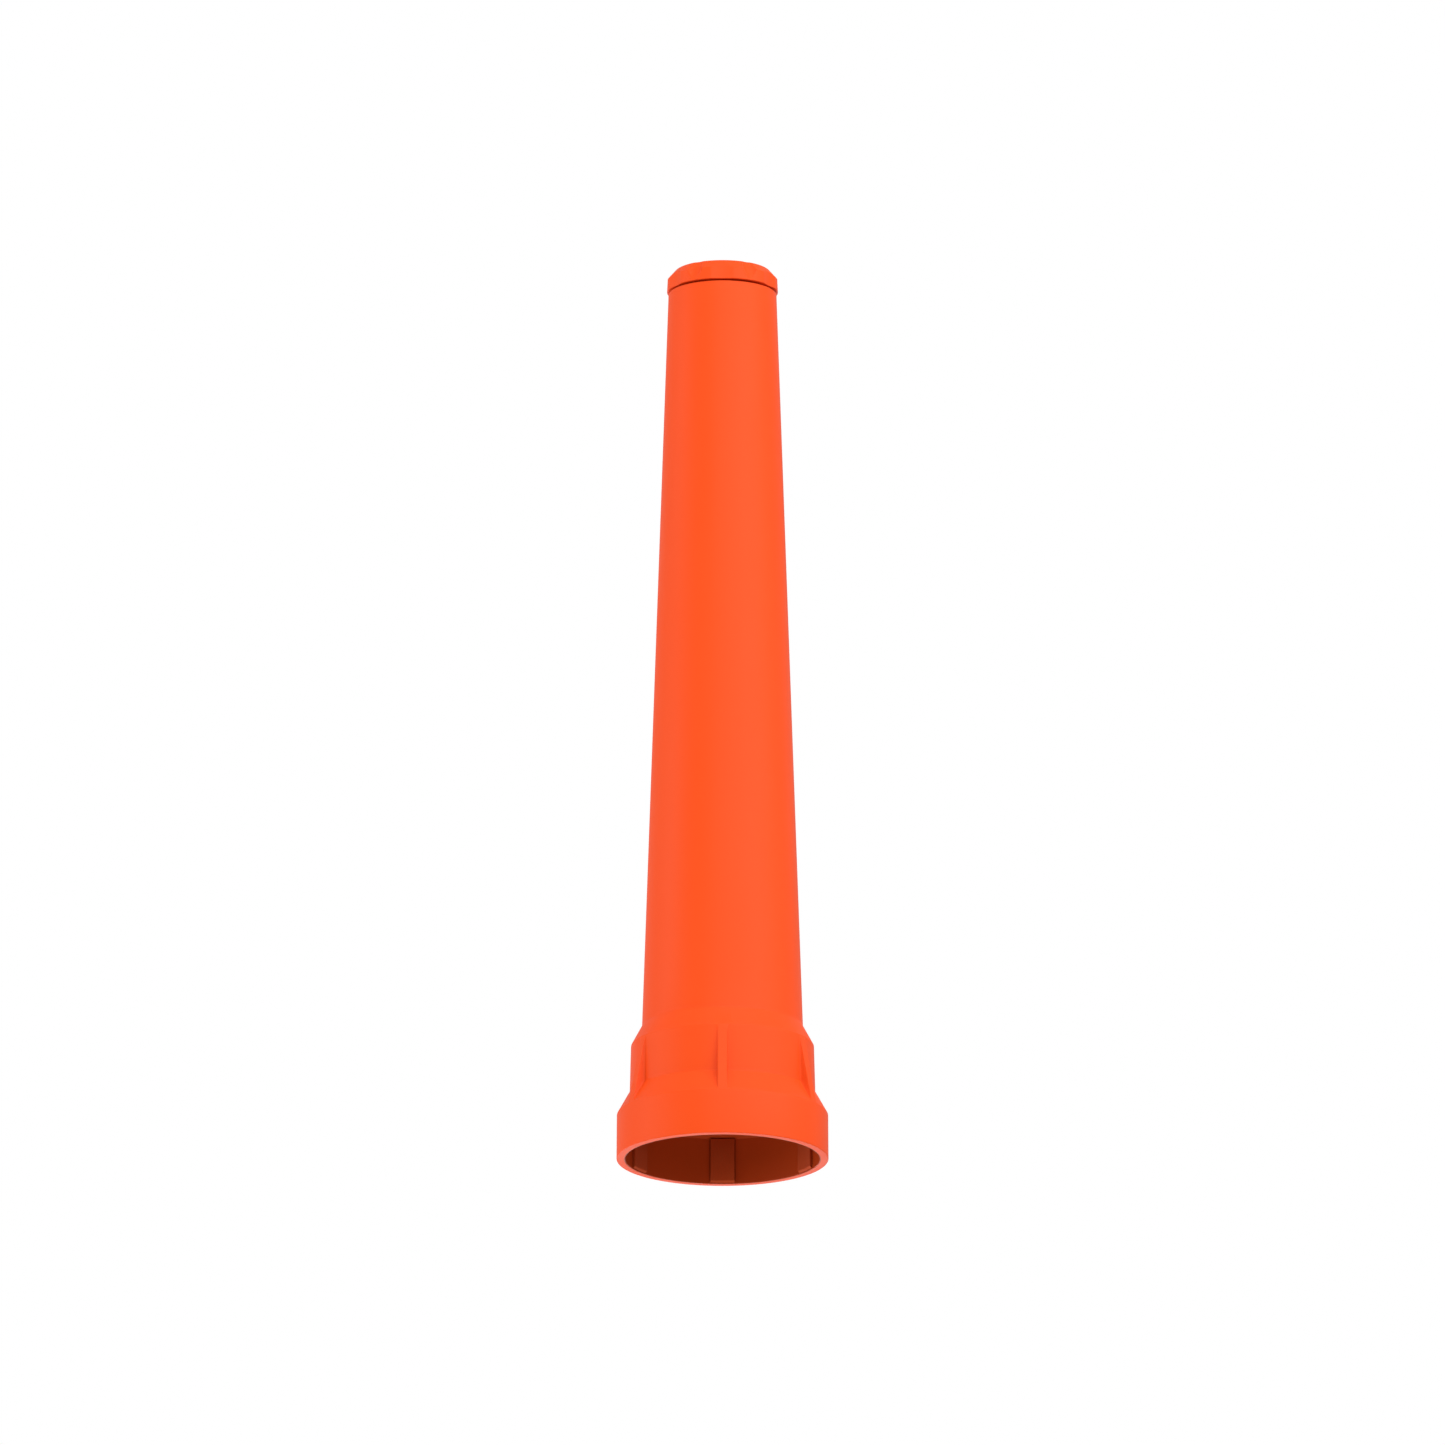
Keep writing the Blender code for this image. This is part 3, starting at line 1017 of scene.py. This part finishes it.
@dataclass
class EndCap:
    """The screw cap. Sizes are in millimetres."""

    radius: float
    foot_z: float
    top_z: float
    flange_z: float
    wall_top_z: float = 215.2
    top_radius: float = 11.3
    plug_radius: float = 9.5
    plug_wall: float = 1.6
    roof: float = 1.6
    scallop_radius: float = 14.0
    scallop_depth: float = 0.5
    scoop_radius: float = 2.5
    scoop_foot: float = 0.35
    scoop_top_radius: float = 11.05
    softness: float = 0.16
    columns: int = 480
    thread: Thread = Thread(ThreadSide.PLUG, 9.5, 10.5, start=pi / 2)

    def corners(self) -> list[Corner]:
        """Lay out the cap's outline, from the middle of its top round to the roof of its core.

        Returns:
            The corners in order.
        """
        core = self.plug_radius - self.plug_wall
        roof_z = self.flange_z + self.roof
        return [
            Corner(0.0, self.top_z, pitch=0.9, wall=Wall.FACE),
            Corner(self.top_radius, self.top_z, 0.25, pitch=FLANGE_ROW, wall=Wall.FLANGE),
            Corner(self.radius, self.wall_top_z, 0.25, pitch=FLANGE_ROW, wall=Wall.FLANGE),
            Corner(self.radius, self.flange_z, 0.12, pitch=FLANGE_ROW, wall=Wall.FLANGE),
            Corner(self.plug_radius, self.flange_z, 0.2, pitch=THREAD_ROW, wall=Wall.THREAD),
            Corner(self.plug_radius, self.foot_z + 0.4, 0.1, pitch=4.0, wall=Wall.BORE),
            Corner(self.plug_radius - 0.4, self.foot_z, 0.1, wall=Wall.BORE),
            Corner(core, self.foot_z, 0.15, wall=Wall.BORE),
            Corner(core, roof_z, 0.5, wall=Wall.BORE),
            Corner(0.0, roof_z, wall=Wall.BORE),
        ]

    def uncut_radius(self, height: Grid) -> Grid:
        """The flange's radius before the grips are cut, in metres."""
        slope = (self.radius - self.top_radius) / (self.top_z - self.wall_top_z)
        return (self.radius - slope * np.maximum(0.0, height / MM - self.wall_top_z)) * MM

    def scallop(self, azimuth: Grid) -> Grid:
        """Work out the six shallow upright hollows.

        Args:
            azimuth: Azimuth of each point.

        Returns:
            Their radius in metres, or 1 where no hollow is.
        """
        aside = fold_azimuth(azimuth)
        away = (self.radius - self.scallop_depth + self.scallop_radius) * MM
        inside = (self.scallop_radius * MM) ** 2 - (away * np.sin(aside)) ** 2
        return np.where(inside > 0, away * np.cos(aside) - np.sqrt(np.maximum(inside, 0)), 1.0)

    def scoop(self, azimuth: Grid, height: Grid) -> Grid:
        """Work out the six tilted scoops between the scallops.

        Args:
            azimuth: Azimuth of each point.
            height: Its height.

        Returns:
            Their radius in metres, or 1 where no scoop is.
        """
        aside = fold_azimuth(azimuth, SECTOR / 2)
        rise = self.top_z - self.flange_z - self.scoop_foot
        lean = atan((self.radius - self.scoop_top_radius) / rise)
        tool = self.scoop_radius * MM
        up = height - (self.flange_z + self.scoop_foot) * MM
        slant = np.cos(aside) * cos(lean)
        offset = -self.radius * MM * cos(lean) + up * sin(lean) - tool
        square = slant**2 + np.sin(aside) ** 2
        inside = (slant * offset) ** 2 - square * (offset**2 - tool**2)
        found = (-slant * offset - np.sqrt(np.maximum(inside, 0))) / square
        return np.where(inside > 0, found, 1.0)

    def carve(self, azimuth: Grid, radius: Grid, height: Grid, wall: Grid) -> tuple[Grid, Grid]:
        """Cut the scallops and scoops round the flange, and raise the plug's thread.

        Args:
            azimuth: Azimuth of each point.
            radius: Its radius.
            height: Its height.
            wall: Its wall number.

        Returns:
            The azimuths, and the new radii.
        """
        edge = self.uncut_radius(height)
        cut = smooth_least(edge, self.scallop(azimuth), self.softness * MM)
        cut = np.minimum(smooth_least(cut, self.scoop(azimuth, height), self.softness * MM), edge)
        top = height > self.flange_z * MM + NEAR
        neck = self.plug_radius * MM
        wide = np.clip((radius - neck) / (edge - neck), 0.0, 1.0)
        shrunk = np.where(top, radius * cut / edge, radius + wide * (cut - edge))
        flange = (wall == Wall.FLANGE.value) | (wall == Wall.FACE.value)
        carved = np.where(flange, shrunk, radius)
        threaded = (wall == Wall.THREAD.value) & (np.abs(radius - neck) < NEAR)
        return azimuth, np.where(threaded, carved + self.thread.lift(azimuth, height), carved)

    def build(self, material: bpy.types.Material) -> bpy.types.Object:
        """Make the cap.

        Args:
            material: Its finish.

        Returns:
            The finished piece.
        """
        columns = np.arange(self.columns) * 2 * pi / self.columns
        rows = outline_rows(self.corners(), closed=False)
        mesh = turned_mesh("cap_base", rows, columns, self.carve, closed=False)
        return finish_mesh(mesh, "screw_cap", material, crease=40)


@dataclass
class SealRing:
    """The seal under the cap's flange. Sizes are in millimetres."""

    radius: float
    z: float
    section_radius: float
    flash: float = 0.03
    sides: int = 32
    columns: int = 180

    def build(self, material: bpy.types.Material) -> bpy.types.Object:
        """Make the ring, with the fine line that its two-part tool leaves round its outside.

        Args:
            material: Its finish.

        Returns:
            The finished piece.
        """
        rows = []
        for i in range(self.sides):
            angle = pi / 2 - 2 * pi * i / self.sides
            swell = self.section_radius + (self.flash if i == self.sides // 4 else 0.0)
            radius, z = self.radius + swell * cos(angle), self.z + swell * sin(angle)
            rows.append(Row(radius * MM, z * MM, Wall.FACE))
        columns = np.arange(self.columns) * 2 * pi / self.columns
        mesh = turned_mesh("seal_base", rows, columns, None, closed=True)
        return finish_mesh(mesh, "seal_ring", material, crease=60)


# ------------------------------------------------------------------------------
# The studio
# ------------------------------------------------------------------------------


@dataclass(frozen=True)
class Softbox:
    """A square studio lamp, aimed at the cone's middle.

    Angles are in degrees, lengths in metres and powers in watts.
    """

    name: str
    azimuth: float
    elevation: float
    power: float
    size: float = 0.9
    distance: float = 1.6


@dataclass
class Studio:
    """Pale floor, soft light and the camera."""

    height: float
    base_radius: float
    top_radius: float
    camera_elevation: float = -15.3
    lens: float = 1000.0
    field_width: float = 0.3417
    floor_size: float = 3.0
    floor_level: float = -0.0002
    floor_colour: str = "#f2f1ee"
    ambient: float = 0.58
    lamps: tuple[Softbox, ...] = (
        Softbox("left side", -75.0, 0.0, 7.0),
        Softbox("left side high", -90.0, 20.0, 3.2),
        Softbox("left side low", -90.0, -35.0, 4.6),
        Softbox("left rear low", -135.0, -35.0, 6.0),
        Softbox("rear low", 180.0, -35.0, 5.0),
        Softbox("under", 0.0, -80.0, 6.6, size=1.2),
        Softbox("front", 0.0, 20.0, 5.2),
        Softbox("right front", 30.0, 20.0, 6.8),
        Softbox("key", 55.0, 20.0, 6.6),
        Softbox("right side", 75.0, 20.0, 3.6),
        Softbox("front top", 0.0, 50.0, 4.4),
        Softbox("right top", 45.0, 50.0, 4.4),
    )

    def centre(self) -> Vector:
        """Find the point on the axis that puts the cone in the middle of the camera's view.

        Returns:
            The point.
        """
        lean = radians(-self.camera_elevation)
        high = self.height * cos(lean) + self.top_radius * sin(lean)
        low = -self.base_radius * sin(lean)
        return Vector((0.0, 0.0, (high + low) / 2 / cos(lean)))

    def camera(self) -> None:
        """Set the camera far off with a long lens."""
        lean = radians(self.camera_elevation)
        data = bpy.data.cameras.new("camera")
        data.lens = self.lens
        distance = self.field_width * self.lens / data.sensor_width
        data.clip_end = 4 * distance
        camera = bpy.data.objects.new("camera", data)
        back = Vector((0.0, -cos(lean), sin(lean)))
        camera.location = self.centre() + distance * back
        camera.rotation_euler = (-back).to_track_quat("-Z", "Y").to_euler()
        bpy.context.scene.collection.objects.link(camera)
        bpy.context.scene.camera = camera

    def lights(self) -> None:
        """Hang the lamps."""
        for box in self.lamps:
            data = bpy.data.lights.new(box.name, "AREA")
            data.energy = box.power
            data.size = box.size
            lamp = bpy.data.objects.new(box.name, data)
            lamp.visible_camera = False
            turn, rise = radians(box.azimuth), radians(box.elevation)
            away = Vector((sin(turn) * cos(rise), -cos(turn) * cos(rise), sin(rise)))
            lamp.location = self.centre() + box.distance * away
            lamp.rotation_euler = (-away).to_track_quat("-Z", "Y").to_euler()
            bpy.context.scene.collection.objects.link(lamp)

    def surroundings(self) -> None:
        """A plain white studio all round, dimmer as a light than it looks."""
        world = bpy.data.worlds.new("studio")
        world.use_nodes = True
        tree = world.node_tree
        tree.nodes.clear()
        ray = add_node(tree, "ShaderNodeLightPath").outputs["Is Camera Ray"]
        strength = add_node(
            tree, "ShaderNodeMapRange", links={"Value": ray, "To Min": self.ambient, "To Max": 1.0}
        ).outputs[0]
        shine = add_node(
            tree, "ShaderNodeBackground", links={"Color": (1, 1, 1, 1), "Strength": strength}
        )
        add_node(tree, "ShaderNodeOutputWorld", links={"Surface": shine.outputs[0]})
        bpy.context.scene.world = world

    def floor(self) -> None:
        """A pale sweep under the base rim that shows from above only, so light reaches the socket."""
        mesh = bpy.data.meshes.new("floor")
        half = self.floor_size / 2
        sides = ((-half, -half), (half, -half), (half, half), (-half, half))
        mesh.from_pydata([(x, y, self.floor_level) for x, y in sides], [], [(0, 1, 2, 3)])
        material = bpy.data.materials.new("pale paper")
        material.use_nodes = True
        tree = material.node_tree
        shader = tree.nodes["Principled BSDF"]
        shader.inputs["Base Color"].default_value = linear(self.floor_colour)
        shader.inputs["Roughness"].default_value = 0.9
        under = add_node(tree, "ShaderNodeNewGeometry").outputs["Backfacing"]
        clear = add_node(tree, "ShaderNodeBsdfTransparent").outputs[0]
        mixed = add_node(
            tree, "ShaderNodeMixShader", links={0: under, 1: shader.outputs[0], 2: clear}
        )
        tree.links.new(mixed.outputs[0], tree.nodes["Material Output"].inputs["Surface"])
        mesh.materials.append(material)
        floor = bpy.data.objects.new("floor", mesh)
        floor.visible_shadow = False
        floor.visible_diffuse = False
        floor.visible_glossy = False
        bpy.context.scene.collection.objects.link(floor)

    def build(self) -> None:
        """Set up the whole studio."""
        bpy.context.scene.view_settings.view_transform = "Standard"
        self.camera()
        self.lights()
        self.surroundings()
        self.floor()


# ------------------------------------------------------------------------------
# Assembly
# ------------------------------------------------------------------------------


def place(piece: bpy.types.Object, body: str, slot: str, *nodes: str) -> None:
    """Let a piece ride on a body, and stand for CAD nodes.

    Args:
        piece: The finished piece.
        body: The body that it moves with.
        slot: The record's material slot; not used.
        nodes: The CAD nodes that it replaces.
    """
    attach(piece, body)
    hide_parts(*nodes)
    log.info("%s rides on %s: %d faces", piece.name, body, len(piece.data.polygons))


def main() -> None:
    """Build the cone's pieces in order, and then the studio."""
    logging.basicConfig(level=logging.INFO, format="%(name)s: %(message)s")
    body_low, body_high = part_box("wand_body")
    cap_low, cap_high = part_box("end_cap")
    seal_low, seal_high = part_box("cap_seal")
    pad_low, pad_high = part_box("grip_pad_1")
    plastic = MouldedPlastic().material()

    body = WandBody(collar_radius=body_high.x / MM, top_z=body_high.z / MM)
    place(body.build(plastic), "wand", "body_plastic", "wand_body")

    pads = GripPads(
        width=(pad_high.x - pad_low.x) / MM,
        back_radius=-pad_low.y / MM,
        lip_z=pad_low.z / MM,
        head_z=pad_high.z / MM,
    )
    nodes = [f"grip_pad_{i + 1}" for i in range(FOLD)]
    place(pads.build(SoftElastomer().material()), "wand", "pad_elastomer", *nodes)

    section = (seal_high.z - seal_low.z) / 2 / MM
    seal = SealRing(
        radius=seal_high.x / MM - section,
        z=(seal_high.z + seal_low.z) / 2 / MM,
        section_radius=section,
    )
    place(seal.build(SealSilicone().material()), "seal", "seal_rubber", "cap_seal")

    cap = EndCap(
        radius=cap_high.x / MM,
        foot_z=cap_low.z / MM,
        top_z=cap_high.z / MM,
        flange_z=body_high.z / MM + 0.5,
    )
    place(cap.build(plastic), "cap", "cap_plastic", "end_cap")

    Studio(height=cap_high.z, base_radius=body_high.x, top_radius=cap.top_radius * MM).build()


if __name__ == "__main__":
    main()
